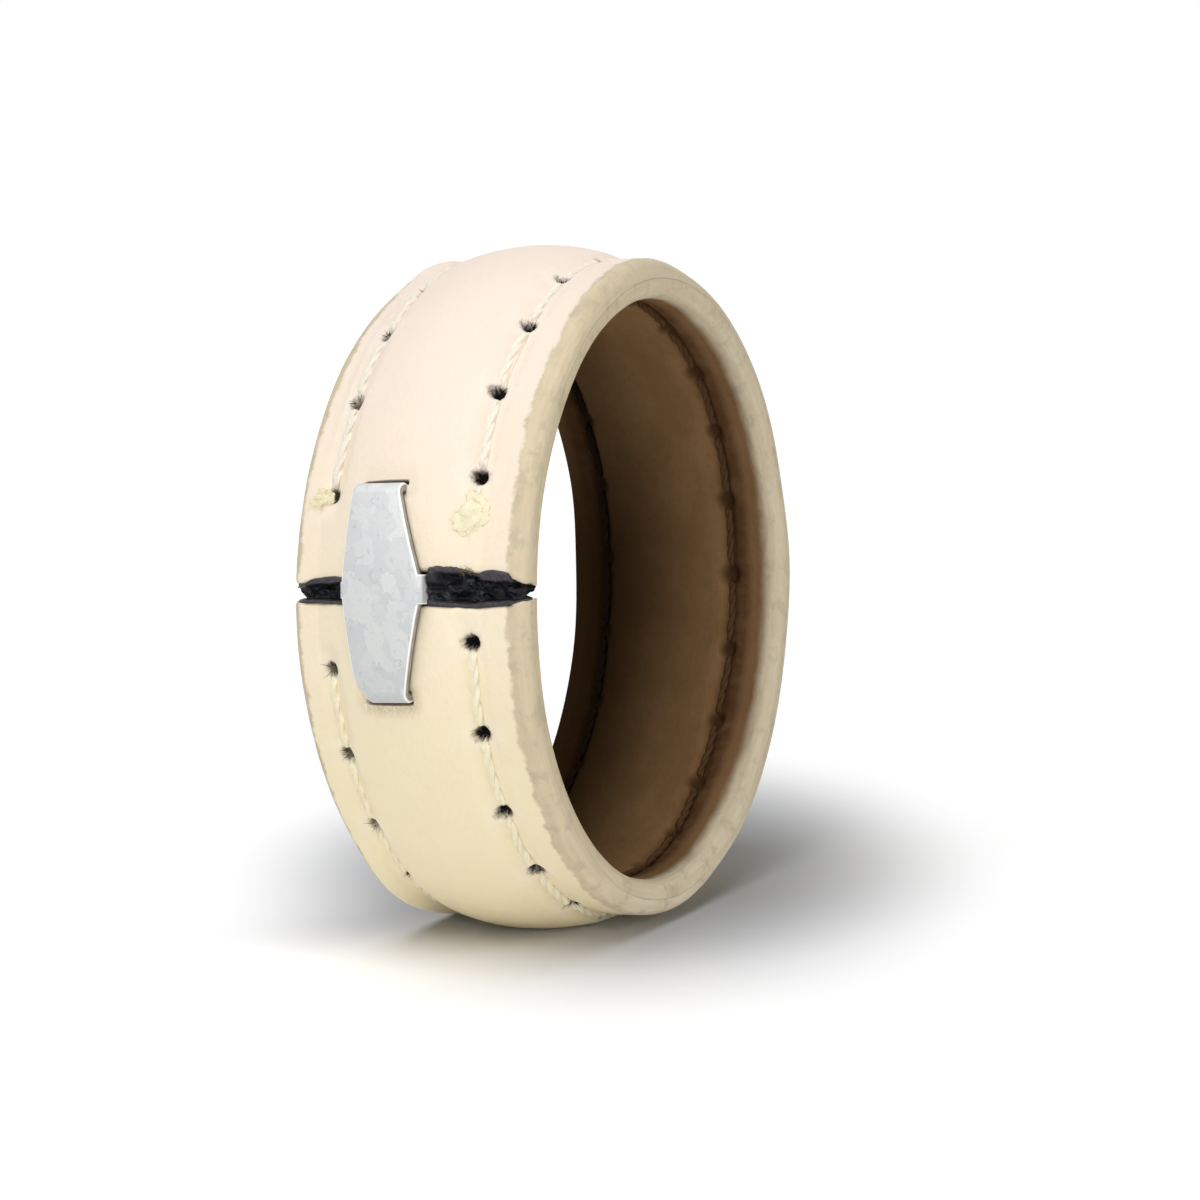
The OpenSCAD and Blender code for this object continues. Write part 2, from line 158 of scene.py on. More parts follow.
# Soft lamps: where each one stands, its strength, and its spread in degrees
LAMPS = {
    "left_softbox": ((-0.50, 0.00, 0.87), 1.85, 50),
    "rear_overhead_softbox": ((0.24, 0.24, 0.94), 0.70, 60),
    "low_left_fill": ((-0.95, -0.25, 0.17), 0.97, 40),
    "front_fill": ((0.00, -0.98, 0.21), 0.98, 40),
}

# Distance that stands for no mark near by
FAR_OFF = 9.0
rng = np.random.default_rng(11)
AXIS = np.array([0.0, 1.0, 0.0])


# Shaping helpers

def smooth(t):
    t = np.clip(t, 0.0, 1.0)
    return t * t * (3 - 2 * t)


def lattice(i, j, seed):
    h = np.sin(i * 127.1 + j * 311.7 + seed * 74.7) * 43758.5453
    return h - np.floor(h)


def noise(u, v, seed):
    """Smooth noise from -1 to 1 with one bump per unit."""
    i, j = np.floor(u), np.floor(v)
    fu, fv = smooth(u - i), smooth(v - j)
    near = lattice(i, j, seed) * (1 - fu) + lattice(i + 1, j, seed) * fu
    far = lattice(i, j + 1, seed) * (1 - fu) + lattice(i + 1, j + 1, seed) * fu
    return 2 * (near * (1 - fv) + far * fv) - 1


def on_ring(r, phi, y):
    """Points of the part's frame, in millimetres, for places on the ring."""
    a = np.radians(phi + JOINT_LIFT)
    r, a, y = np.broadcast_arrays(r, a, y)
    return np.stack([-r * np.cos(a), y, r * np.sin(a)], axis=-1)


def arc_angle(distance, r=EDGE_R):
    return np.degrees(distance / r)


def hole_angles(low, high):
    turn = 360 - arc_angle(low) - arc_angle(high)
    count = round(turn / arc_angle(STITCH_L))
    return -arc_angle(low) - turn * np.arange(count + 1) / count


class Seam:
    """One row of stitch holes, from below the joint round to above it."""

    def __init__(self, y, low, high, last_shift):
        self.angles = hole_angles(low, high)
        self.angles[-1] -= arc_angle(last_shift[0])
        self.along = np.radians(-self.angles) * EDGE_R
        self.y = y + rng.uniform(-0.05, 0.05, len(self.angles))
        self.y[-1] += last_shift[1]
        self.size = rng.uniform(0.8, 1.0, len(self.angles))


SEAMS = {side: Seam(y, *SEAM_ENDS[side])
         for side, y in (("front", SEAM_SHIFT - SEAM_Y), ("rear", SEAM_SHIFT + SEAM_Y))}


def hole_distance(phi, y, r=EDGE_R):
    """Distance in millimetres from the nearest stitch hole, counted longer round a small hole."""
    nearest = np.full(np.broadcast(phi, y).shape, FAR_OFF)
    for seam in SEAMS.values():
        for angle, hole_y, size in zip(seam.angles, seam.y, seam.size):
            turn = (phi - angle + 180) % 360 - 180
            nearest = np.minimum(nearest, np.hypot(np.radians(turn) * r, y - hole_y) / size)
    return nearest


def sewn(phi, y):
    """1 where a seam runs, fading out past its end holes towards the joint."""
    fade = 1.0
    amount = np.zeros(np.broadcast(phi, y).shape)
    for seam, side in zip(SEAMS.values(), (-1, 1)):
        top, bottom = seam.angles[-1] % 360, seam.angles[0] % 360
        inside = np.radians(np.minimum(phi - top, bottom - phi)) * EDGE_R
        amount += (np.sign(y - SEAM_SHIFT) == side) * smooth(inside / fade + 1)
    return amount


def crown(y):
    t = (y - SEAM_SHIFT) / CROWN_REACH
    return (CROWN_R - EDGE_R) * np.maximum(1 - t * t, 0)


def past_seam(y):
    """Distance from the nearer seam, counted towards the rim."""
    return np.abs(y - SEAM_SHIFT) - SEAM_Y


def furrow(y):
    t = past_seam(y) * 2 / FURROW_W
    return np.where(np.abs(t) < 1, FURROW_DEPTH * (1 + np.cos(pi * np.clip(t, -1, 1))) / 2, 0)


SEAM_R = EDGE_R + float(crown(SEAM_SHIFT + SEAM_Y)) - FURROW_DEPTH


def cut_edges(r, y):
    """Arc distances of the upper and the lower cut edge from the joint, nearer together at the bore."""
    narrow = 0.65 + 0.35 * np.clip((r - BORE_R) / (EDGE_R - BORE_R), 0, 1)
    return np.interp(y, GAP_Y, GAP_UPPER) * narrow, np.interp(y, GAP_Y, GAP_LOWER) * narrow


# Mesh helpers

def rows_of(*parts):
    """One row of three values for each point."""
    return np.stack(np.broadcast_arrays(*parts), axis=-1).reshape(-1, 3)


def unit(arrows):
    return arrows / np.linalg.norm(arrows, axis=1, keepdims=True)


def new_mesh(name, points, faces, vectors=None, sharp=50):
    """An object from points in millimetres, with named vector attributes."""
    mesh = bpy.data.meshes.new(name)
    mesh.from_pydata((np.asarray(points) * MM).tolist(), [], faces)
    mesh.polygons.foreach_set("use_smooth", [True] * len(mesh.polygons))
    mesh.set_sharp_from_angle(angle=radians(sharp))
    for key, values in (vectors or {}).items():
        layer = mesh.attributes.new(key, "FLOAT_VECTOR", "POINT")
        layer.data.foreach_set("vector", np.asarray(values, np.float32).ravel())
    mesh.update()
    thing = bpy.data.objects.new(name, mesh)
    bpy.context.scene.collection.objects.link(thing)
    return thing


def grid_faces(columns, rows, start=0):
    """Quads over a grid whose rows close into a loop."""
    i, j = np.meshgrid(np.arange(columns - 1), np.arange(rows), indexing="ij")
    k = (j + 1) % rows
    quads = np.stack([i * rows + j, i * rows + k, (i + 1) * rows + k, (i + 1) * rows + j], axis=-1)
    return (quads.reshape(-1, 4) + start).tolist()


def closed_grid(columns, rows, start=0):
    """The same, with one more face over each end."""
    first = [start + j for j in reversed(range(rows))]
    last = [start + (columns - 1) * rows + j for j in range(rows)]
    return grid_faces(columns, rows, start) + [first, last]


def strip_caps(columns, rows, top):
    """Both ends of a grid whose first `top` rows are the outside and the others lead back."""
    back = rows - top
    faces = []
    for base, flip in ((0, True), ((columns - 1) * rows, False)):
        for j in range(top - 1):
            a = base + top + back - 1 - min(j * back // (top - 1), back - 1)
            b = base + top + back - 1 - min((j + 1) * back // (top - 1), back - 1)
            face = [base + j, base + j + 1, b] if a == b else [base + j, base + j + 1, b, a]
            faces.append(face[::-1] if flip else face)
    return faces


class Heap:
    """Several bits of mesh gathered into one piece."""

    def __init__(self):
        self.points, self.faces, self.tone = [], [], []
        self.count = 0

    def add(self, points, faces, tone):
        self.points.append(points)
        self.faces += faces
        self.tone.append(np.broadcast_to(tone, (len(points), 3)))
        self.count += len(points)

    def tube(self, path, radii, sides, tone):
        """A round strand along a path, closed at both ends."""
        ahead = unit(np.gradient(path, axis=0))
        guide = np.array([0.02, 1.0, 0.03])
        across = unit(np.cross(ahead, guide))
        over = np.cross(ahead, across)
        a = 2 * pi * np.arange(sides) / sides
        ring = np.cos(a)[None, :, None] * across[:, None] + np.sin(a)[None, :, None] * over[:, None]
        points = path[:, None] + np.asarray(radii).reshape(-1, 1, 1) * ring
        tones = np.repeat(np.broadcast_to(tone, (len(path), 3)), sides, axis=0)
        self.add(points.reshape(-1, 3), closed_grid(len(path), sides, self.count), tones)

    def fibre(self, root, heading, length, radius, tone):
        """A thin hair that tapers to its tip and curls a little."""
        heading = heading / np.linalg.norm(heading)
        curl = rng.normal(0, 0.35, 3)
        t = np.linspace(0, 1, 5)[:, None]
        path = root + length * (t * heading + 0.5 * t * t * curl)
        self.tube(path, radius * np.linspace(1, 0.25, 5), 3, tone)

    def piece(self, name):
        points = np.concatenate(self.points)
        return new_mesh(name, points, self.faces, {"tone": np.concatenate(self.tone)})


# Material helpers

class Nodes:
    """A node tree, built in few words."""

    def __init__(self, tree):
        self.tree = tree

    def put(self, socket, value):
        if isinstance(value, bpy.types.NodeSocket):
            self.tree.links.new(value, socket)
        elif socket.type == "RGBA":
            socket.default_value = (*value, 1.0)
        else:
            socket.default_value = value

    def add(self, kind, inputs, **settings):
        node = self.tree.nodes.new("ShaderNode" + kind)
        for key, value in settings.items():
            setattr(node, key, value)
        for key, value in inputs.items():
            self.put(node.inputs[key], value)
        return node

    def parts(self, source):
        return self.add("SeparateXYZ", {0: source}).outputs

    def vector(self, name):
        """The three parts of a mesh attribute, and the attribute itself."""
        source = self.add("Attribute", {}, attribute_name=name).outputs["Vector"]
        return (*self.parts(source), source)

    def place(self):
        """Places on the object in millimetres."""
        source = self.add("TexCoord", {}).outputs["Object"]
        return self.add("VectorMath", {0: source, 3: 1000.0}, operation="SCALE").outputs[0]

    def stretch(self, source, sizes):
        return self.add("VectorMath", {0: source, 1: sizes}, operation="MULTIPLY").outputs[0]

    def math(self, operation, a, b=0.0):
        return self.add("Math", {0: a, 1: b}, operation=operation).outputs[0]

    def times(self, a, b):
        return self.math("MULTIPLY", a, b)

    def apart(self, a, b):
        return self.math("ABSOLUTE", self.math("SUBTRACT", a, b))

    def stray(self, value, wander, reach):
        """Moves a value up and down by half of reach, as a noise goes."""
        return self.math("ADD", value, self.times(self.math("SUBTRACT", wander, 0.5), reach))

    def noise(self, source, scale, detail=3.0, rough=0.55, twist=0.0):
        inputs = {"Vector": source, "Scale": scale, "Detail": detail, "Roughness": rough,
                  "Distortion": twist}
        return self.add("TexNoise", inputs).outputs["Fac"]

    def cells(self, source, scale):
        return self.add("TexVoronoi", {"Vector": source, "Scale": scale}).outputs

    def ease(self, value, low, high, start=0.0, end=1.0):
        """Goes smoothly from start to end while value goes from low to high."""
        inputs = {"Value": value, "From Min": low, "From Max": high, "To Min": start, "To Max": end}
        return self.add("MapRange", inputs, interpolation_type="SMOOTHSTEP").outputs[0]

    def mix(self, factor, a, b):
        node = self.add("Mix", {0: factor}, data_type="RGBA")
        self.put(node.inputs[6], a)
        self.put(node.inputs[7], b)
        return node.outputs[2]

    def bump(self, height, depth, below=None):
        """Raises the surface by depth millimetres where height is 1."""
        inputs = {"Height": height, "Distance": depth * MM, "Strength": 1.0}
        if below is not None:
            inputs["Normal"] = below
        return self.add("Bump", inputs).outputs[0]

    def seen_rays(self):
        """1 for rays that the camera sees directly, in metal or through glass, and 0 for other rays."""
        path = self.add("LightPath", {}).outputs
        seen = path["Is Camera Ray"]
        for name in ("Is Glossy Ray", "Is Transmission Ray"):
            seen = self.math("MAXIMUM", seen, path[name])
        return seen


class Surface(Nodes):
    """The nodes of a material."""

    def __init__(self, name):
        self.material = bpy.data.materials.new(name)
        self.material.use_nodes = True
        super().__init__(self.material.node_tree)
        self.shader = self.tree.nodes["Principled BSDF"]

    def finish(self, **sockets):
        for key, value in sockets.items():
            self.put(self.shader.inputs[key.replace("_", " ")], value)
        return self.material


# Materials

def tan_edge(s, along, across, far):
    """Colour of a raw cut edge: tan at the joint, far opposite it, where it is darker as painted shade,
    paler at the bottom as painted light, with faint layers round the rim.
    """
    layers = s.add("CombineXYZ", {0: s.times(along, 0.6), 1: s.times(across, 5.0)})
    streak = s.noise(layers.outputs[0], 1.0, 4.0, 0.6, 0.3)
    away, _, height = s.parts(s.place())
    tanned, pale = (0.69, 0.58, 0.395), (0.80, 0.70, 0.52)
    spotted, layered = (0.46, 0.40, 0.28), (0.54, 0.44, 0.29)
    # Darker opposite the joint, away from the lamps, as painted shade
    colour = s.mix(s.ease(away, -9.0, 8.0), tanned, far)
    # Paler towards the bottom, painted light where less light reaches
    colour = s.mix(s.ease(height, -7.0, -10.0, 0.0, 0.7), colour, pale)
    spots = s.noise(s.place(), 1.4, 4.0, 0.65)
    colour = s.mix(s.ease(spots, 0.50, 0.66, 0.0, 0.55), colour, spotted)
    shade = s.ease(streak, 0.35, 0.65, 0.0, 0.35)
    return s.mix(shade, colour, layered), streak


def cream_leather():
    s = Surface("cream_leather")
    along, across, rim, surface = s.vector("surface")
    hole, seam, slit, _ = s.vector("marks")
    height = s.parts(s.place())[2]
    cloudy, grained = (0.90, 0.76, 0.58), (0.80, 0.66, 0.48)
    whitish, crease_shade_brown = (0.96, 0.92, 0.84), (0.36, 0.27, 0.18)
    fluffy, dent_shade_brown = (0.12, 0.085, 0.06), (0.45, 0.35, 0.23)
    hole_shade_black, slit_shade_black = (0.006, 0.005, 0.005), (0.02, 0.014, 0.01)

    # Pinkish above and straw-coloured below, the lower part painted lighter where less light reaches it,
    # with cloudy tanning and fine pores
    colour = s.mix(s.ease(height, -6.0, 10.0), *LEATHER)
    cloud = s.noise(surface, 0.35, 4.0, 0.6)
    colour = s.mix(s.ease(cloud, 0.35, 0.75, 0.0, 0.2), colour, cloudy)
    pores = s.cells(surface, 5.5)["Distance"]
    grain = s.noise(surface, 3.2, 5.0, 0.6)
    colour = s.mix(s.ease(grain, 0.45, 0.8, 0.0, 0.10), colour, grained)

    # Whitish puckers beside the holes, and painted shade in a thin groove along the rim side of the seam
    fuzz = s.noise(surface, 9.0, 3.0, 0.7)
    pucker = s.times(s.ease(hole, 1.0, 0.3), s.ease(fuzz, 0.35, 0.6))
    colour = s.mix(s.times(pucker, 0.35), colour, whitish)
    wander = s.noise(s.stretch(surface, (1.2, 0.3, 0.0)), 1.0, 2.0)
    crease_at = s.stray(seam, wander, 0.16)
    crease_shade = s.ease(s.apart(crease_at, 0.13), 0.05, 0.0)
    colour = s.mix(s.times(crease_shade, 0.35), colour, crease_shade_brown)

    # Raw rim with a ragged border
    edge, streak = tan_edge(s, along, across, RIM_FAR_SHADED[0])
    blots = s.noise(s.stretch(surface, (1.5, 1.0, 0.0)), 1.0, 3.0, 0.6)
    teeth = s.noise(s.stretch(surface, (6.0, 2.5, 0.0)), 1.0, 4.0, 0.7)
    ragged = s.stray(s.stray(rim, blots, 0.55), teeth, 0.16)
    grain_side = s.ease(ragged, 0.80, 0.95)
    colour = s.mix(grain_side, edge, colour)

    # Stitch holes with a star of dark fluff from the dark thread and painted shade in each hole, both
    # browner at the rear; the dent below the clip's lower end and the clip's slits in painted shade
    star = s.noise(surface, 7.0, 4.0, 0.8)
    hole_at = s.stray(hole, star, 0.42)
    open_hole = s.ease(across, 4.0, 5.0, 1.0, 0.6)
    fluff = s.times(s.ease(hole_at, 0.36, 0.22, 0.0, 0.6), open_hole)
    colour = s.mix(fluff, colour, fluffy)
    pit_shade = s.times(s.ease(hole_at, 0.275, 0.175), open_hole)
    colour = s.mix(pit_shade, colour, hole_shade_black)
    # Painted shade in the dent below the clip's lower end
    dent_shade = s.times(s.ease(slit, 0.55, 0.05, 0.0, 0.45), s.ease(height, 1.0, -1.0))
    colour = s.mix(s.times(dent_shade, s.ease(fuzz, 0.3, 0.6)), colour, dent_shade_brown)
    # Painted shade in the slits where the clip's ends go in
    colour = s.mix(s.ease(slit, 0.09, 0.02), colour, slit_shade_black)

    relief = s.bump(pores, 0.008)
    relief = s.bump(grain, 0.02, relief)
    relief = s.bump(s.times(streak, s.ease(rim, 0.9, 0.6)), 0.04, relief)
    relief = s.bump(grain_side, 0.012, relief)
    rough = s.ease(grain, 0.3, 0.7, 0.50, 0.62)
    return s.finish(Base_Color=colour, Roughness=rough, Normal=relief, Specular_IOR_Level=0.3)


def brown_leather():
    s = Surface("brown_leather")
    along, across, rim, surface = s.vector("surface")
    hole, beyond, _, _ = s.vector("marks")
    away, _, height = s.parts(s.place())
    stained, bordered = (0.080, 0.036, 0.018), (0.17, 0.095, 0.05)
    holed, rear_shade_black = (0.045, 0.02, 0.012), (0.022, 0.011, 0.004)
    colour = s.mix(s.ease(s.noise(surface, 0.5, 4.0), 0.35, 0.7), *BROWN)
    grain = s.noise(surface, 4.0, 5.0, 0.65)
    colour = s.mix(s.ease(grain, 0.45, 0.75, 0.0, 0.3), colour, tuple(0.6 * c for c in BROWN[0]))

    # Stained from the seam out towards the rim, and painted shade, darker towards the rear of the bore,
    # less so above
    from_stain = s.apart(beyond, 0.33)
    blotch = s.noise(s.stretch(surface, (1.1, 0.6, 0.0)), 1.0, 3.0, 0.6)
    stain = s.times(s.ease(from_stain, 0.55, 0.15), s.ease(blotch, 0.3, 0.6, 0.5, 0.85))
    colour = s.mix(stain, colour, stained)
    border = s.times(s.ease(rim, 1.7, 1.2), 0.3)
    colour = s.mix(border, colour, bordered)
    colour = s.mix(s.ease(hole, 0.55, 0.2, 0.0, 0.7), colour, holed)
    painted_light = s.times(s.ease(across, 2.4, 6.6, 0.0, 0.95), s.ease(height, 0.0, 5.0, 1.0, 0.72))
    colour = s.mix(painted_light, colour, rear_shade_black)

    # Raw rim, with the dye reaching further over it opposite the joint
    edge, streak = tan_edge(s, along, across, RIM_FAR_SHADED[1])
    soft = s.noise(s.stretch(surface, (0.9, 2.0, 0.0)), 1.0, 4.0, 0.6)
    ragged = s.math("ADD", s.stray(rim, soft, 0.25), s.ease(away, 3.0, 9.0, 0.0, 0.08))
    dyed = s.ease(ragged, 0.80, 1.25)
    colour = s.mix(dyed, edge, colour)

    relief = s.bump(grain, 0.03)
    relief = s.bump(s.cells(surface, 4.0)["Distance"], 0.015, relief)
    relief = s.bump(s.times(streak, s.ease(rim, 1.0, 0.7)), 0.03, relief)
    rough = s.ease(grain, 0.3, 0.7, 0.62, 0.8)
    return s.finish(Base_Color=colour, Roughness=rough, Normal=relief, Specular_IOR_Level=0.0)


def black_elastic():
    s = Surface("black_elastic")
    place = s.place()
    folds = s.noise(place, 2.2, 5.0, 0.65, 0.8)
    crumbs = s.noise(place, 9.0, 3.0, 0.7)
    high = s.vector("tone")[0]
    # The lips in a dark purple grey, the elastic's own colour with some painted sheen; the valley and the
    # part under the clip painted darker still, as shade
    valley_shade_black, crumb, glint_highlight = (0.003, 0.003, 0.005), (0.05, 0.06, 0.07), (0.12, 0.155, 0.18)
    lip = s.mix(s.ease(crumbs, 0.35, 0.7), (0.050, 0.042, 0.049), (0.028, 0.024, 0.027))
    colour = s.mix(s.ease(high, 0.35, 0.95), valley_shade_black, lip)
    colour = s.mix(s.ease(crumbs, 0.64, 0.74, 0.0, 0.5), colour, crumb)
    # Painted highlights: bluish glints on crests in the valley
    crest = s.apart(s.noise(place, 2.4, 4.0, 0.6, 1.0), 0.5)
    painted_glint = s.times(s.ease(crest, 0.022, 0.0), s.ease(s.noise(place, 1.3, 2.0), 0.48, 0.62))
    colour = s.mix(s.times(painted_glint, s.ease(high, 0.95, 0.5)), colour, glint_highlight)
    relief = s.bump(folds, 0.16)
    relief = s.bump(crumbs, 0.05, relief)
    rough = s.ease(folds, 0.3, 0.7, 0.30, 0.55)
    return s.finish(Base_Color=colour, Roughness=rough, Normal=relief, Specular_IOR_Level=0.35)


def clip_steel():
    s = Surface("clip_steel")
    place = s.place()
    high, painted_light, _, _ = s.vector("tone")
    warp = s.noise(place, 2.0, 3.0, 0.6)
    bent = s.add("VectorMath", {0: place, 1: s.stretch(warp, (0.9, 0.9, 0.9))}, operation="ADD").outputs[0]
    crystals = s.cells(bent, 1.6)["Color"]
    patches = s.parts(crystals)[0]
    cloud = s.noise(place, 0.9, 4.0, 0.6)
    clouded, spotted = (0.60, 0.61, 0.62), (0.46, 0.485, 0.475)
    contact_shade, worn_edge_highlight = (0.05, 0.044, 0.034), (0.95, 0.95, 0.92)
    colour = s.mix(s.ease(patches, 0.2, 0.9), (0.655, 0.665, 0.655), (0.575, 0.59, 0.595))
    colour = s.mix(s.ease(cloud, 0.4, 0.7, 0.0, 0.5), colour, clouded)
    spots = s.noise(place, 2.9, 4.0, 0.65, 1.2)
    colour = s.mix(s.ease(spots, 0.57, 0.68, 0.0, 0.7), colour, spotted)
    # The side faces painted dark brownish grey, a painted reflection of the leather in shade; the lower
    # side and the underside painted dark, as shade where the plate meets the leather
    side = s.noise(s.stretch(place, (1.0, 1.0, 0.4)), 6.0, 3.0)
    edge = s.mix(s.ease(side, 0.35, 0.65), (0.30, 0.275, 0.225), (0.42, 0.39, 0.33))
    colour = s.mix(s.ease(high, 0.86, 0.74), colour, edge)
    colour = s.mix(s.ease(high, 0.42, 0.16), colour, contact_shade)
    # The upper rounded corners painted light: wear, and a painted highlight along the edges
    colour = s.mix(s.ease(painted_light, 0.5, 1.0), colour, worn_edge_highlight)
    lines = s.noise(s.stretch(place, (1.0, 1.0, 14.0)), 1.6, 3.0)
    relief = s.bump(spots, 0.010)
    relief = s.bump(cloud, 0.02, relief)
    relief = s.bump(lines, 0.003, relief)
    rough = s.ease(patches, 0.0, 1.0, 0.48, 0.60)
    return s.finish(Base_Color=colour, Roughness=rough, Normal=relief, Metallic=0.3)


def spun_thread(name, pale, deep, rough_low, gloss, low=None):
    """Twisted thread: its tone goes from clean on the surface to a darker colour in the holes, painted
    shade there, and along threads darkened by use and painted shade.

    low is the clean colour below the joint, where it differs.
    """
    s = Surface(name)
    place = s.place()
    height = s.parts(place)[2]
    depth, shade, _, _ = s.vector("tone")
    fluff = s.noise(place, 14.0, 4.0, 0.7)
    colour = s.mix(s.ease(height, 3.0, -3.0), pale, low or pale)
    colour = s.mix(s.ease(fluff, 0.35, 0.7, 0.0, 0.3), colour, tuple(0.8 * c for c in pale))
    colour = s.mix(s.times(shade, 0.25), colour, tuple(0.75 * c for c in pale))
    colour = s.mix(s.ease(depth, 0.45, 0.95), colour, deep)
    relief = s.bump(fluff, 0.02)
    rough = s.ease(fluff, 0.3, 0.7, rough_low, rough_low + 0.15)
    return s.finish(Base_Color=colour, Roughness=rough, Normal=relief, Specular_IOR_Level=gloss)


# Pieces

def dress(piece, material, node):
    piece.data.materials.append(material)
    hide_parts(node)
    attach(piece, "root")
    return piece


def band_columns():
    """Steps along the band from one cut end to the other, closer at the ends and the clip's slits."""
    ends = arc_angle(np.array([0.012, 0.03, 0.055, 0.085, 0.12, 0.16]))
    slits = [end - 2.4 + np.linspace(-1.5, 1.5, 26) for end in CLIP_ENDS]
    upper, lower = (np.concatenate([ends, slit]) for slit in slits)
    return np.unique(np.concatenate([np.linspace(0, 360, 690), upper, 360 - lower]))


def spread(columns, r, y):
    """Turns steps along the band into ring angles between the two cut ends."""
    upper, lower = (np.degrees(edge / r) for edge in cut_edges(r, y))
    start = upper + 0.14 * noise(y / 0.25, columns * 0, 3) + 0.08 * noise(y / 0.09, columns * 0, 4)
    stop = 360 + lower + 0.14 * noise(y / 0.3, columns * 0, 8)
    return start + (stop - start) * columns / 360, start, stop


def across_band(flat_w, reach, counts):
    """Places across the band between its rounded rims, closer at the seams."""
    front, rear = SEAM_SHIFT - SEAM_Y, SEAM_SHIFT + SEAM_Y
    rim, seam, middle = counts
    return np.concatenate([
        np.linspace(-flat_w, front - reach, rim)[1:-1],
        np.linspace(front - reach, front + reach, seam)[:-1],
        np.linspace(front + reach, rear - reach, middle)[:-1],
        np.linspace(rear - reach, rear + reach, seam),
        np.linspace(rear + reach, flat_w, rim - 3)[1:-1]])


def between(a, low, high, ramp):
    """1 for angles from low to high, fading out over a ramp outside them."""
    return smooth((a - low) / ramp + 1) * smooth((high - a) / ramp + 1)


def out_of_round(phi):
    """The rims are thinner at the right of the ring, and most so at its upper right."""
    turn = np.radians(180 - phi - JOINT_LIFT)
    right = np.cos(turn)
    return -UPPER_RIGHT_THINNER * np.sin(2 * turn) * smooth(right) - RIGHT_THINNER * smooth(right / 0.6)


def flare(phi, y):
    """How far the rims stand out, or in, at the places in REAR_FLARES and FRONT_FLARES."""
    rear, front = (sum(out * between(phi + JOINT_LIFT, *where) for out, *where in flares)
                   for flares in (REAR_FLARES, FRONT_FLARES))
    return rear * smooth((y - 2.6) / 0.8) + front * smooth((-y - 1.6) / 0.8)


def rim_wave(phi, y):
    """Both layers' rims were trimmed together, a little wavily."""
    return np.sign(y) * RIM_WAVE * noise(np.radians(phi) * 3.26, y * 0, 7) * smooth((np.abs(y) - 3) / 0.6)


def rest_flat(points):
    """The leather is pressed flat where the ring stands."""
    bend = 0.05
    z = points[..., 2] - REST_Z
    points[..., 2] = REST_Z + (z + np.sqrt(z * z + bend ** 2)) / 2
    return points


def layer_grid(columns, bond_r, face_r, foot, rounding, reach, counts, rear_reach):
    """Section of a leather layer at every column: a rim, its face, the other rim, and back underneath.

    Gives the radii and places across the band, the way over the face, the way from the nearer rim, with
    rear_reach added at the rear one, which points are on the face, and how many come before the way back.
    """
    out = np.sign(face_r - bond_r)
    a = np.linspace(0, pi / 2, 10)[1:]
    rim_r = np.concatenate([bond_r + out * np.array(foot), face_r - out * rounding * (1 - np.sin(a))])
    rim_y = np.concatenate([[0.006, 0.002, 0.0], rounding * (1 - np.cos(a))]) - HALF_W
    flat_w = HALF_W - rounding
    face_y = across_band(flat_w, reach, counts)
    back_y = np.linspace(HALF_W - 0.5, 0.5 - HALF_W, 7)
    y = np.concatenate([rim_y, face_y, -rim_y[::-1], back_y])
    r = np.concatenate([rim_r, np.full(len(face_y), face_r), rim_r[::-1], np.full(len(back_y), bond_r)])
    top = len(y) - len(back_y)
    way = np.concatenate([[0], np.cumsum(np.hypot(np.diff(r), np.diff(y)))])
    rim = np.minimum(way, way[top - 1] - way + rear_reach)
    way[top:] = rim[top:] = 0
    on_top = (np.arange(len(y)) < top) & (np.abs(y) <= flat_w + 1e-6)
    r, y = (np.tile(row, (len(columns), 1)) for row in (r, y))
    return r, y, way, rim, on_top, top


def layer_mesh(name, points, faces, surface, marks):
    """A leather layer whose material knows the ways over its surface and the distances from its marks."""
    vectors = {"surface": rows_of(*surface), "marks": rows_of(*marks)}
    return new_mesh(name, points.reshape(-1, 3), faces, vectors)


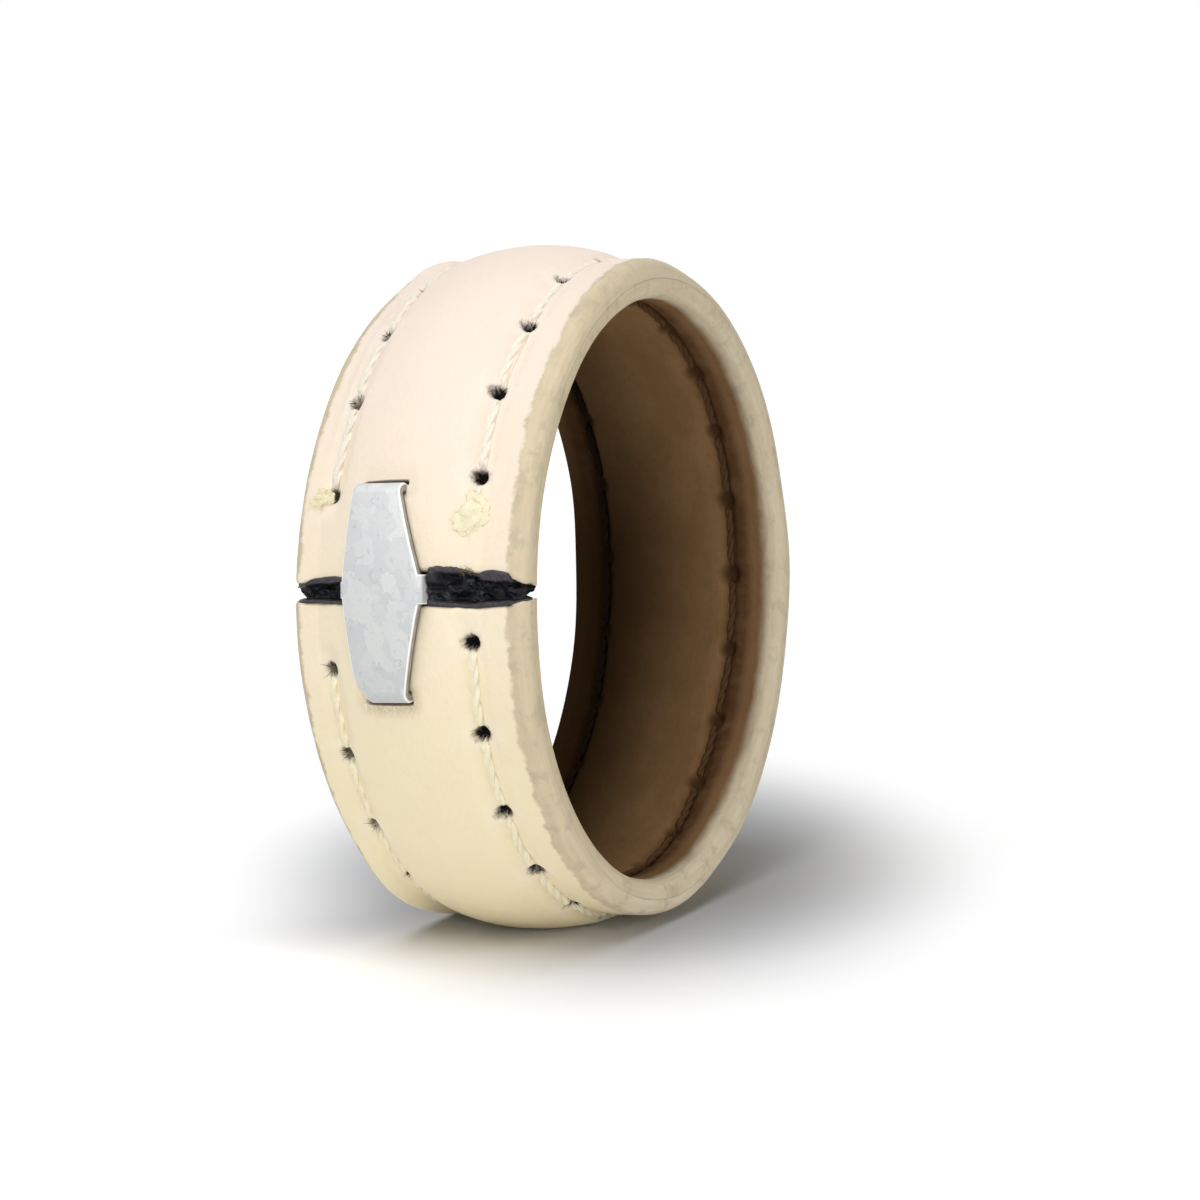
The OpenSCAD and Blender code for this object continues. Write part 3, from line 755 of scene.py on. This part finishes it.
def outer_band():
    columns = band_columns()[:, None]
    r, y, way, rim, on_top, top = layer_grid(
        columns, BOND_R, EDGE_R, foot=(0, 0.03, 0.08), rounding=OUTER_ROUND,
        reach=0.45, counts=(11, 18, 40), rear_reach=REAR_GRAIN)
    phi, start, stop = spread(columns, r, y)
    along = np.radians(phi) * EDGE_R
    outside = smooth((r - BOND_R - 0.1) / 0.4)

    # Crown, sewn furrow that is pulled deeper at each hole, and soft unevenness
    hole = hole_distance(phi, y)
    seam_here = sewn(phi, y)
    pull = seam_here * (0.80 + 0.35 * np.exp(-(hole / 0.7) ** 2))
    r += np.where(on_top, crown(y) - furrow(y) * pull, 0)
    r += outside * (0.022 * noise(along / 2.6, y / 1.7, 5) + 0.008 * noise(along / 0.7, y / 0.6, 6))
    r += outside * ((1 - crown(y) / (CROWN_R - EDGE_R)) * out_of_round(phi) + flare(phi, y))
    y += (1 - on_top) * rim_wave(phi, y)
    r -= on_top * HOLE_DEPTH * smooth(1.0 - (hole - 0.06) / 0.24)
    r += on_top * HOLE_RIDGE * np.exp(-((hole - 0.42) / 0.14) ** 2)

    # Slits and dents where the clip's ends go in
    upper = phi < 180
    turn = np.where(upper, phi - CLIP_ENDS[0], 360 - phi - CLIP_ENDS[1])
    lean = np.where(upper, 1, -1) * sin(radians(CLIP_TURN))
    middle = CLIP_SHIFT + CLIP_END_SHIFT + lean * CLIP_L / 2
    past = np.radians(turn) * CROWN_R + lean * (y - CLIP_SHIFT)
    beside = np.maximum(np.abs(y - middle) - CLIP_END_W / 2 + 0.02, 0)
    slit = np.hypot(np.maximum(np.abs(past - 0.03) - 0.03, 0), beside)
    r -= on_top * SLIT_DEPTH * smooth(1 - slit / 0.06)
    dent = np.exp(-(np.maximum(past, 0) / 0.4) ** 2 - (beside / 0.25) ** 2)
    r -= on_top * CLIP_DENT * dent * (past > -0.4)

    # Cut ends are rounded over a little
    from_cut = np.radians(np.minimum(phi - start, stop - phi)) * EDGE_R
    shy = np.clip(1 - from_cut / CUT_ROUND, 0, 1)
    drop = CUT_ROUND * (1 - np.sqrt(1 - shy ** 2))
    r -= on_top * drop
    y -= ~on_top * np.sign(y) * drop * 0.7

    # Distance from the seam towards the rim, led far off to its own side where no seam runs
    beyond = past_seam(y)
    beyond += np.where(beyond < 0.05, -FAR_OFF, FAR_OFF) * (1 - seam_here)
    faces = grid_faces(*y.shape) + strip_caps(*y.shape, top)
    return layer_mesh("outer_leather_band", rest_flat(on_ring(r, phi, y)), faces,
                      (along, way, rim), (hole, beyond, slit))


def inner_lining():
    columns = np.linspace(0, 360, 560)[:, None]
    r, y, way, rim, on_top, top = layer_grid(
        columns, BOND_R - FIT / 2, BORE_R, foot=(0, 0.03, 0.1), rounding=LINING_ROUND,
        reach=0.4, counts=(9, 15, 20), rear_reach=REAR_DYE)
    phi, _, _ = spread(columns, r, y)
    along = np.radians(phi) * BORE_R
    hole = hole_distance(phi, y, BORE_R)
    seam = np.abs(past_seam(y))
    r += on_top * GROOVE_DEPTH * np.exp(-(seam / 0.22) ** 2)
    r += on_top * LINING_HOLE_DEPTH * smooth(1.0 - (hole - 0.05) / 0.3)
    r -= on_top * GROOVE_RIDGE * np.exp(-((seam - 0.55) / 0.3) ** 2)
    r += on_top * (0.03 * noise(along / 2.2, y / 1.6, 15) + 0.01 * noise(along / 0.6, y / 0.6, 16))
    y += (1 - on_top) * rim_wave(phi, y)

    faces = [face[::-1] for face in grid_faces(*y.shape) + strip_caps(*y.shape, top)]
    return layer_mesh("brown_lining", on_ring(r, phi, y), faces, (along, way, rim), (hole, past_seam(y), 0))


def elastic_insert():
    """Black elastic squeezed out of the gap: two lips with a deep valley between, and fish-tail ends."""
    across = np.linspace(-1, 1, 61)
    foot = np.linspace(1, -1, 9)
    t = np.concatenate([across, foot])[None, :]
    k = np.linspace(-1, 1, 260)[:, None]
    is_top = (np.arange(t.shape[1]) < len(across))[None, :]
    # Fish-tail notches in the front and the rear end
    notch = np.where(k < 0, 0.42 * np.exp(-((t + 0.25) / 0.24) ** 2) + 0.06 * (t < -0.25),
                     0.26 * np.exp(-((t - 0.75) / 0.3) ** 2) + 0.22 * smooth((0.05 - t) / 0.2))
    y = k * (HALF_W + 0.06 - notch)

    # Swollen parts of the upper lip, and the outline of both lips over the cut edges
    swell = sum(np.sqrt(np.maximum(1 - ((y - at) / half) ** 2, 0)) for at, half in INSERT_BULGES)
    upper, lower = cut_edges(EDGE_R, y)
    upper = upper + 0.01 + BULGE_OUT * swell
    lower = lower - 0.02 - 0.05 * np.sin(pi * np.clip((np.abs(y) - 1) / 2.6, 0, 1))
    lower = lower - 0.02 * noise(y / 0.3, t * 0, 25)
    arc = lower + (upper - lower) * (t + 1) / 2

    # Height: lips that roll down onto the leather, a valley with crumpled folds, low under the clip
    wall = np.where(t < 0, 0.66, np.interp(y, VALLEY_Y, VALLEY_UPPER))
    wall = wall + 0.07 * noise(y / 0.4, t * 0 + np.sign(t), 24)
    valley = smooth((wall + 0.10 - np.abs(t - 0.04)) / 0.18)
    roll = 0.14 * smooth((np.abs(t) - 0.80) / 0.2) ** 2
    folds = 0.18 * noise(y / 0.42, t * 2.1, 21) + 0.12 * noise(y / 0.17, t * 4, 22)
    skin = 0.025 * noise(y / 0.2, t * 3, 26) + 0.012 * noise(y / 0.07, t * 8, 23)
    rise = LIP_RISE + BULGE_RISE * swell * (t > 0)
    from_clip = y - CLIP_SHIFT
    at_ear = np.exp(-((np.abs(from_clip) - CLIP_W / 2 - CLIP_T / 2) / 0.2) ** 2)
    r = EDGE_R + crown(y) + rise - roll - valley * (VALLEY_DEPTH * (1 - 0.9 * at_ear) - folds) + skin
    r -= END_DROP * smooth((np.abs(y) - 3.4) / 0.45)
    under_clip = smooth((CLIP_W / 2 + CLIP_T / 2 - 0.02 - np.abs(from_clip)) / 0.06)
    r -= under_clip * np.maximum(r - EAR_R + 0.08, 0)
    # Tone for the colour: high on the lips and on fold crests, low in the valley and under the clip, where
    # the colour paints shade
    height = np.clip(1 - valley * 0.9 + folds * valley * 2.5 + skin * 4 - 0.5 * under_clip, 0, 1)
    r = np.where(is_top, r, BORE_R + LINING_ROUND + 0.1)
    base_upper, base_lower = cut_edges(r, y)
    base = base_lower + (base_upper - base_lower) * (t + 1) / 2
    phi = np.degrees(np.where(is_top, arc / EDGE_R, base / r))
    points = on_ring(r, phi, y).reshape(-1, 3)
    tone = rows_of(height, 0, 0)
    return new_mesh("elastic_insert_lips", points, closed_grid(*r.shape), {"tone": tone}, sharp=70)


def plate_section(width, thick, corner=0.06):
    """Rounded oblong: across the strip, through its thickness, and which of its upper corners get the light
    edge of wear with a painted highlight.
    """
    a = np.linspace(0, pi / 2, 5)
    quarter = np.stack([np.cos(a), np.sin(a)], axis=-1)
    loop = []
    for sx, sy, order in ((1, 1, 1), (-1, 1, -1), (-1, -1, 1), (1, -1, -1)):
        for cx, cy in quarter[::order]:
            loop.append((sx * (width / 2 - corner + corner * cx), sy * (thick / 2 - corner + corner * cy),
                         1.0 if sy > 0 and 0.05 < cy < 0.999 else 0.0))
    return np.array(loop)


def seat_clip(points):
    """Puts clip points, given as (along the band, outwards, across the band), on the joint, askew."""
    c, q, y = np.moveaxis(np.asarray(points), -1, 0)
    lean = radians(CLIP_TURN)
    up, over = c * cos(lean) - y * sin(lean), c * sin(lean) + y * cos(lean) + CLIP_SHIFT
    return up[..., None] * on_ring(1, 90, 0) + q[..., None] * on_ring(1, 0, 0) + over[..., None] * AXIS


def bent_strip(heap, centres, normals, sides, widths, thick, joined):
    """Sheet metal along centres, with its outside towards normals and its width along sides.

    joined tells where its rear and front edge run on into an ear, and so get no light edge and no painted
    dark side.
    """
    section = np.stack([plate_section(width, thick) for width in widths])
    x, h, painted_light = np.moveaxis(section, -1, 0)
    plain = np.where(x > 0, joined[0][:, None], joined[1][:, None])
    points = np.asarray(centres)[:, None] + x[..., None] * np.asarray(sides)[:, None] \
        + h[..., None] * np.asarray(normals)[:, None]
    tone = rows_of(np.where(plain, 1.0, h / thick + 0.5), np.where(plain, 0.0, painted_light), 0)
    heap.add(seat_clip(points).reshape(-1, 3), closed_grid(*x.shape, heap.count), tone)


def joint_clip():
    """Steel plate bent to the crown, with two end tongues and two side ears turned down."""
    heap = Heap()
    mid_r = CLIP_IN_R + CLIP_T / 2
    bend_mid = BEND_R - CLIP_T / 2
    halves = []
    for end in CLIP_ENDS:
        e = radians(end)
        p = np.linspace(0, e - BEND_R / mid_r, 40)
        turn = np.linspace(0, pi / 2, 12)[1:]
        down = np.linspace(CLIP_OUT_R - BEND_R, CROWN_R - TONGUE_DEPTH, 8)[1:]
        r = np.concatenate([CLIP_OUT_R - BEND_R + bend_mid * np.cos(turn), down])
        reach = np.concatenate([bend_mid * np.sin(turn) - BEND_R, np.full(len(down), -CLIP_T / 2)])
        c = np.concatenate([mid_r * np.sin(p), r * sin(e) + reach * cos(e)])
        q = np.concatenate([mid_r * np.cos(p), r * cos(e) - reach * sin(e)])
        halves.append((c, q, np.concatenate([p, e + turn, np.full(len(down), e + pi / 2)])))
    # The lower half mirrors the upper one, so its places along the band and its facing change sign
    c, q, facing = (np.concatenate([sign * low[:0:-1], high])
                    for sign, high, low in zip((-1, 1, -1), *halves))
    end_c = c.max(), -c.min()
    front, rear = (np.interp(c, (-end_c[1] + 0.1, -ear / 2, ear / 2, end_c[0] - 0.1),
                             (tip + out[0], CLIP_W / 2 + out[1], CLIP_W / 2 + out[1], tip + out[2]))
                   for ear, tip, out in ((EAR_FRONT_W, CLIP_END_W / 2 - CLIP_END_SHIFT, CLIP_FRONT_OUT),
                                         (EAR_REAR_W, CLIP_END_W / 2 + CLIP_END_SHIFT, CLIP_REAR_OUT)))
    # One corner of the lower end is cut round
    cut_l, cut_w = 0.62, 0.30
    rear = rear - cut_w * smooth((-c - end_c[1] + cut_l) / cut_l) ** 2
    bent_strip(heap, rows_of(c, q, (rear - front) / 2), rows_of(np.sin(facing), np.cos(facing), 0),
               [(0, 0, 1)] * len(c), rear + front, CLIP_T,
               [np.abs(c) < width / 2 - 0.04 for width in (EAR_REAR_W, EAR_FRONT_W)])

    # Ears, turned down into the gap at both sides
    turn = np.linspace(0, pi / 2, 10)
    bend_r = CLIP_OUT_R - EAR_T
    down = np.linspace(bend_r, EAR_R, 6)[1:]
    y = np.concatenate([[-0.07], EAR_T / 2 * np.sin(turn), np.full(len(down), EAR_T / 2)])
    q = np.concatenate([[bend_r + EAR_T / 2], bend_r + EAR_T / 2 * np.cos(turn), down]) - 0.002
    facing = np.concatenate([[0], turn, np.full(len(down), pi / 2)])
    free = np.zeros(len(y), bool)
    for side, width, start in ((-1, EAR_FRONT_W, EAR_FRONT_Y), (1, EAR_REAR_W, EAR_REAR_Y)):
        bent_strip(heap, rows_of(0, q, side * (start + y)),
                   rows_of(0, np.cos(facing), side * np.sin(facing)),
                   [(side, 0, 0)] * len(y), np.full(len(y), width), EAR_T, (free, free))
    return heap.piece("steel_joint_clip")


def seam_path(seam, lay_r, dive, tail, step=0.04):
    """Where a thread runs: along the seam and down into each hole, towards the bond between the layers."""
    u = np.arange(seam.along[0], seam.along[-1] + tail, 0.01)
    gaps = np.abs(u[:, None] - seam.along[None, :])
    d = gaps.min(axis=1)
    y = np.interp(u, seam.along, seam.y) + 0.035 * noise(u / 1.1, u * 0, 31)
    depth = smooth(1 - (d - 0.10) / 0.36)
    r = lay_r - dive * depth
    points = on_ring(r, -np.degrees(u / EDGE_R), y)
    length = np.concatenate([[0], np.cumsum(np.linalg.norm(np.diff(points, axis=0), axis=1))])
    at = np.arange(0, length[-1], step)
    path = np.stack([np.interp(at, length, points[:, i]) for i in range(3)], axis=-1)
    return path, at, np.interp(at, length, depth)


def twist(heap, path, at, depth, radius, pitch, dirt_and_shade=0.0):
    """Winds plies of yarn round a path, thinner where the thread goes into a hole and darker there with
    painted shade.
    """
    plies = 2
    ahead = unit(np.gradient(path, axis=0))
    side = unit(AXIS - ahead * ahead[:, 1:2])
    over = np.cross(ahead, side)
    squeeze = (1 - 0.5 * depth)[:, None]
    for ply in range(plies):
        a = (2 * pi * (at / pitch + ply / plies))[:, None]
        strand = path + squeeze * radius * 0.36 * (np.cos(a) * side + np.sin(a) * over)
        thick = radius * 0.68 * squeeze[:, 0] * (1 + 0.14 * noise(at / 0.35, at * 0, 40 + ply))
        heap.tube(strand, thick, 6, rows_of(np.maximum(depth, dirt_and_shade), ply / plies, 0))


def outer_thread(name, seam, tail):
    heap = Heap()
    path, at, depth = seam_path(seam, lay_r=SEAM_R + 0.2 * FURROW_DEPTH - 0.01, dive=0.55, tail=tail)
    twist(heap, path, at, depth, *OUTER_YARN)
    hairs = 150
    clear = np.flatnonzero((depth < 0.05) & (path[:, 2] > REST_Z + 1.2))
    for i in rng.choice(clear, hairs, replace=False):
        out = np.array([path[i, 0], 0.0, path[i, 2]]) / np.hypot(path[i, 0], path[i, 2])
        heading = 0.4 * out + rng.normal(0, 0.7, 3)
        heap.fibre(path[i] + 0.08 * out, heading, rng.uniform(0.10, 0.22), radius=0.009,
                   tone=(0.0, 0.0, 0.0))
    return heap.piece(name)


def inner_thread(name, seam, dirt_and_shade):
    """Dark thread on the lining, whose fluff shows as a dark star in each hole outside."""
    heap = Heap()
    hairs = 9
    path, at, depth = seam_path(seam, lay_r=BORE_R + 0.06, dive=-0.5, tail=0.05)
    twist(heap, path, at, depth, *INNER_YARN, dirt_and_shade)
    for angle, y in zip(seam.angles, seam.y):
        root = on_ring(SEAM_R - 0.04, angle, y)
        out = on_ring(1.0, angle, 0.0)
        tangent = on_ring(1.0, angle + 90, 0.0)
        for a in rng.uniform(0, 2 * pi, hairs):
            heading = np.cos(a) * tangent + np.sin(a) * AXIS + rng.uniform(0.25, 0.5) * out
            start = root + 0.10 * (heading - heading.dot(out) * out)
            heap.fibre(start, heading, rng.uniform(0.12, 0.28), radius=0.012, tone=(1.0, 0.0, 0.0))
    return heap.piece(name)


def end_seal(name, seam, past, aside, half_along, half_across):
    """Drop of melted thread over the end of an outer thread: a few flat lumps run together."""
    heap = Heap()
    rows, columns, hairs = 40, 26, 60
    a = 2 * pi * np.arange(rows)[None, :] / rows
    b = np.linspace(0.04, pi - 0.04, columns)[:, None]
    u, v, w = np.sin(b) * np.cos(a), np.sin(b) * np.sin(a), np.cos(b) + 0 * a
    for k, (down, over, size, height) in enumerate(SEAL_LUMPS):
        swell = 1 + 0.20 * noise(u * 1.8 + 5, v * 1.8 + w * 2.1, 51 + k) \
            + 0.12 * noise(u * 4 + 3, v * 4 + w * 5, 61 + k) \
            + 0.06 * noise(u * 9 + 3, v * 9 + w * 8, 71 + k)
        centre_phi = seam.angles[-1] - arc_angle(past + down * half_along)
        phi = centre_phi + arc_angle(half_along * size * swell * u)
        y = seam.y[-1] + aside + half_across * (over + size * swell * v)
        ground = EDGE_R + crown(y) - 0.8 * furrow(y) * sewn(phi % 360, y)
        r = ground - 0.02 + np.where(w > 0, height * swell, 0.2) * w
        shade = np.clip(0.3 + 0.6 * noise(u * 5, v * 5 + w * 3, 81 + k), 0, 1)
        points = on_ring(r, phi, y).reshape(-1, 3)
        faces = closed_grid(columns, rows, heap.count)
        heap.add(points, [face[::-1] for face in faces], rows_of(0, shade, 0))
        out = on_ring(1.0, centre_phi, 0.0)
        for i in rng.choice(columns * rows // 2, hairs, replace=False):
            heading = rng.normal(0, 0.8, 3)
            heading += (0.1 - heading.dot(out)) * out
            heap.fibre(points[i] - 0.01 * out, heading, rng.uniform(0.08, 0.22), radius=0.014,
                       tone=(0.0, 0.1, 0.0))
    return heap.piece(name)


def frayed_fibres():
    """Loose leather fibres at the upper cut edge and beside the clip's lower end."""
    heap = Heap()
    for middle, half, phi, count, lift in TUFTS:
        for _ in range(count):
            y = middle + half * rng.uniform(-1, 1)
            angle = phi + arc_angle(rng.uniform(-0.06, 0.06))
            root = on_ring(EDGE_R + float(crown(y)) + 0.02, angle, y)
            heading = rng.normal(0, 0.6, 3) + lift * on_ring(1.0, angle, 0.0)
            heap.fibre(root, heading, rng.uniform(0.08, 0.22), radius=0.013,
                       tone=(rng.uniform(0.0, 0.7), 0.0, 0.0))
    return heap.piece("frayed_leather_fibres")


# Stage, light and camera

def floor():
    size = 3000.0
    corners = [(-size, -size, REST_Z), (size, -size, REST_Z), (size, size, REST_Z), (-size, size, REST_Z)]
    thing = new_mesh("floor", corners, [[0, 1, 2, 3]])
    s = Surface("white_floor")
    s.tree.nodes.remove(s.shader)
    # Painted shadow: the floor is seen darker in a soft oval where the ring's shadow falls, and white
    # further off
    offset = s.add("VectorMath", {0: s.place(), 1: PAINTED_SHADOW_MIDDLE}, operation="SUBTRACT").outputs[0]
    parts = [s.add("VectorMath", {0: offset, 1: axis}, operation="DOT_PRODUCT").outputs["Value"]
             for axis in PAINTED_SHADOW_AXES]
    flat = s.add("CombineXYZ", {0: parts[0], 1: parts[1]}).outputs[0]
    away = s.add("VectorMath", {0: flat}, operation="LENGTH").outputs["Value"]
    seen = s.mix(s.ease(away, *PAINTED_SHADOW_FADE), *FLOOR_PAINTED_SHADOW_AND_WHITE)
    colour = s.mix(s.seen_rays(), FLOOR_ALBEDO, seen)
    diffuse = s.add("BsdfDiffuse", {"Color": colour})
    s.tree.links.new(diffuse.outputs[0], s.tree.nodes["Material Output"].inputs[0])
    thing.data.materials.append(s.material)


def world():
    """White where it is seen. As light it is a broad soft panel, brightest at the front left."""
    made = bpy.data.worlds.new("white_studio")
    made.use_nodes = True
    nodes = Nodes(made.node_tree)
    direction = nodes.add("TexCoord", {}).outputs["Generated"]
    towards = Vector(WORLD_BRIGHT_SIDE).normalized()
    facing = nodes.add("VectorMath", {0: direction, 1: towards}, operation="DOT_PRODUCT").outputs["Value"]
    panel = nodes.add("MapRange", {"Value": facing, "From Min": -1.0, "To Min": WORLD_FILL[0],
                                   "To Max": WORLD_FILL[1]}).outputs[0]
    background = nodes.tree.nodes["Background"].inputs
    nodes.put(background["Strength"], nodes.add("Mix", {0: nodes.seen_rays(), 2: panel, 3: 1.0}).outputs[0])
    nodes.put(background["Color"], (1.0, 1.0, 1.0))
    bpy.context.scene.world = made


def sun(name, place, strength, spread_deg):
    lamp = bpy.data.lights.new(name, "SUN")
    lamp.energy, lamp.angle = strength, radians(spread_deg)
    thing = bpy.data.objects.new(name, lamp)
    thing.rotation_euler = Vector(place).to_track_quat("Z", "Y").to_euler()
    bpy.context.scene.collection.objects.link(thing)


def camera():
    made = bpy.data.cameras.new("camera")
    made.sensor_width, made.lens = 36.0, CAMERA_LENS
    made.shift_x, made.shift_y = CAMERA_SHIFT
    made.clip_start, made.clip_end = 0.005, 20.0
    thing = bpy.data.objects.new("camera", made)
    axes = Matrix((CAMERA_RIGHT, CAMERA_UP, CAMERA_BACK)).transposed().to_4x4()
    thing.matrix_world = Matrix.Translation((CAMERA_AIM + CAMERA_BACK * CAMERA_DISTANCE) * MM) @ axes
    bpy.context.scene.collection.objects.link(thing)
    bpy.context.scene.camera = thing


bpy.context.scene.view_settings.view_transform = "Standard"
camera()
world()
floor()
for lamp, (place, strength, spread_deg) in LAMPS.items():
    sun(lamp, place, strength, spread_deg)

dress(outer_band(), cream_leather(), "outer_band")
dress(inner_lining(), brown_leather(), "inner_lining")
dress(elastic_insert(), black_elastic(), "elastic_insert")
dress(joint_clip(), clip_steel(), "joint_clip")
cream = spun_thread("cream_thread", *CREAM, rough_low=0.6, gloss=0.2, low=LOW_CREAM)
dark = spun_thread("dark_thread", *DARK, rough_low=0.6, gloss=0.0)
yellow = spun_thread("thread_seal", *YELLOW, rough_low=0.5, gloss=0.2)
for side, seam in SEAMS.items():
    seal = SEAL_SHAPES[side]
    stitches = outer_thread(side + "_cream_stitches", seam, seal[0])
    dress(stitches, cream, side + "_outer_thread")
    stitches = inner_thread(side + "_dark_stitches", seam, DIRT_AND_SHADE[side])
    dress(stitches, dark, side + "_inner_thread")
    dress(end_seal(side + "_thread_end", seam, *seal), yellow, side + "_end_seal")

fibres = frayed_fibres()
fibres.data.materials.append(spun_thread("frayed_leather", *FRAYED, rough_low=0.7, gloss=0.1))
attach(fibres, "root")
